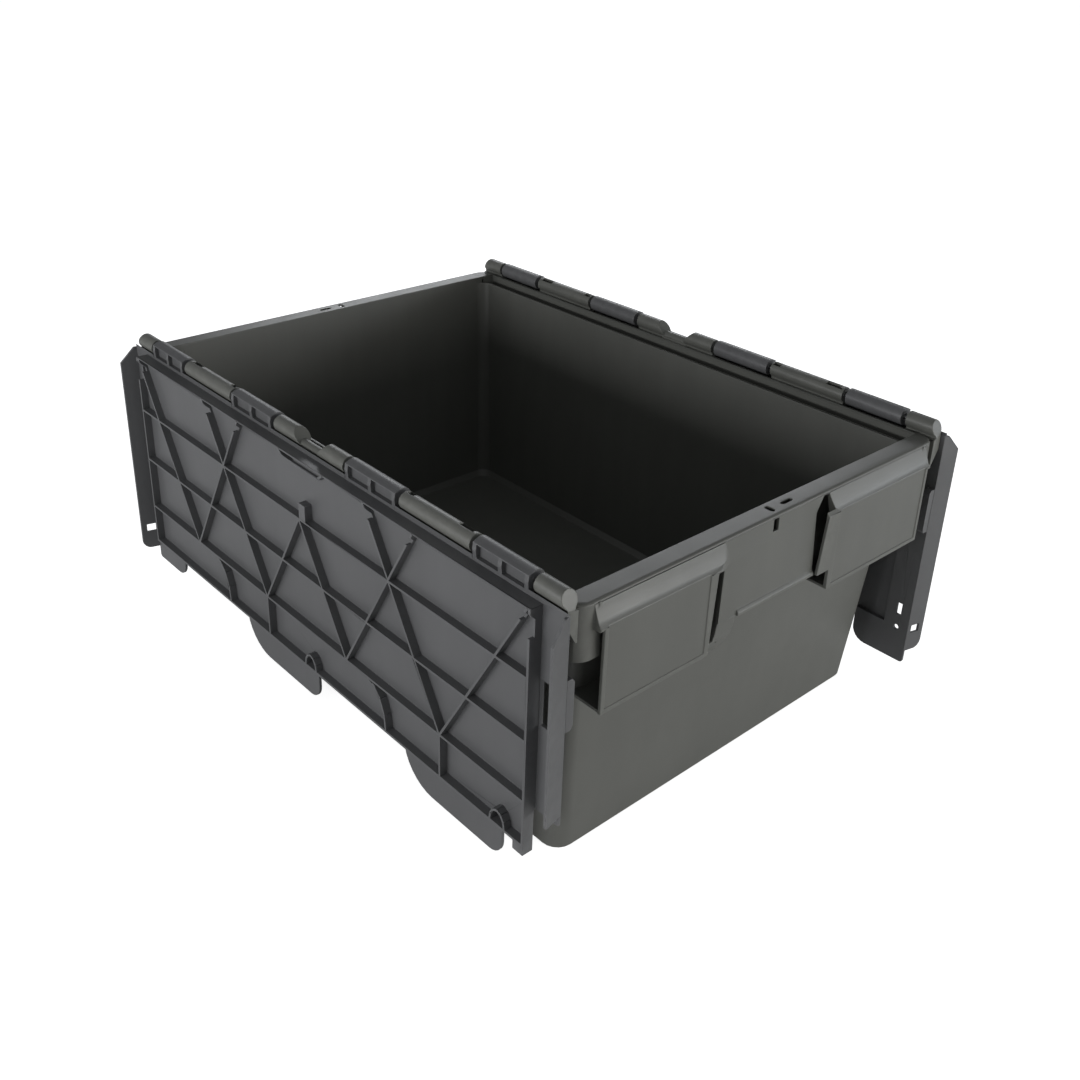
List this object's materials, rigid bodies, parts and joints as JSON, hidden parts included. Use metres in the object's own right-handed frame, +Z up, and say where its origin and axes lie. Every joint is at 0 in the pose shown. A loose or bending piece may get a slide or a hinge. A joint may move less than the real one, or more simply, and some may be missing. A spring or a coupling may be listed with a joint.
{
  "type": "attached lid storage crate",
  "caption": "Tapered plastic crate with ribbed interlocking lids that hang from wire hinges along its long sides.",
  "frame": {"origin": "middle of the tub's underside", "axes": "+X along the long sides, +Y from the front hinge line to the rear one, +Z up"},
  "size_m": [0.6, 0.4622, 0.2545],
  "materials": {
    "tub_plastic": "satin moulded polypropylene, dark olive grey",
    "lid_plastic": "satin moulded polypropylene, dark neutral grey",
    "zinc_steel": "bright zinc plate"
  },
  "bodies": {
    "tub": {"tub": "tub_plastic", "hinge_wire_front_left": "zinc_steel", "hinge_wire_front_right": "zinc_steel", "hinge_wire_rear_left": "zinc_steel", "hinge_wire_rear_right": "zinc_steel"},
    "front_lid": {"lid_front": "lid_plastic"},
    "rear_lid": {"lid_rear": "lid_plastic"}
  },
  "joints": [
    {"name": "front_lid_hinge", "type": "hinge", "parent": "tub", "child": "front_lid", "pos_m": [0, -0.2085, 0.247], "axis": [-1, 0, 0], "range_deg": [0, 270]},
    {"name": "rear_lid_hinge", "type": "hinge", "parent": "tub", "child": "rear_lid", "pos_m": [0, 0.2085, 0.247], "axis": [1, 0, 0], "range_deg": [0, 270]}
  ]
}
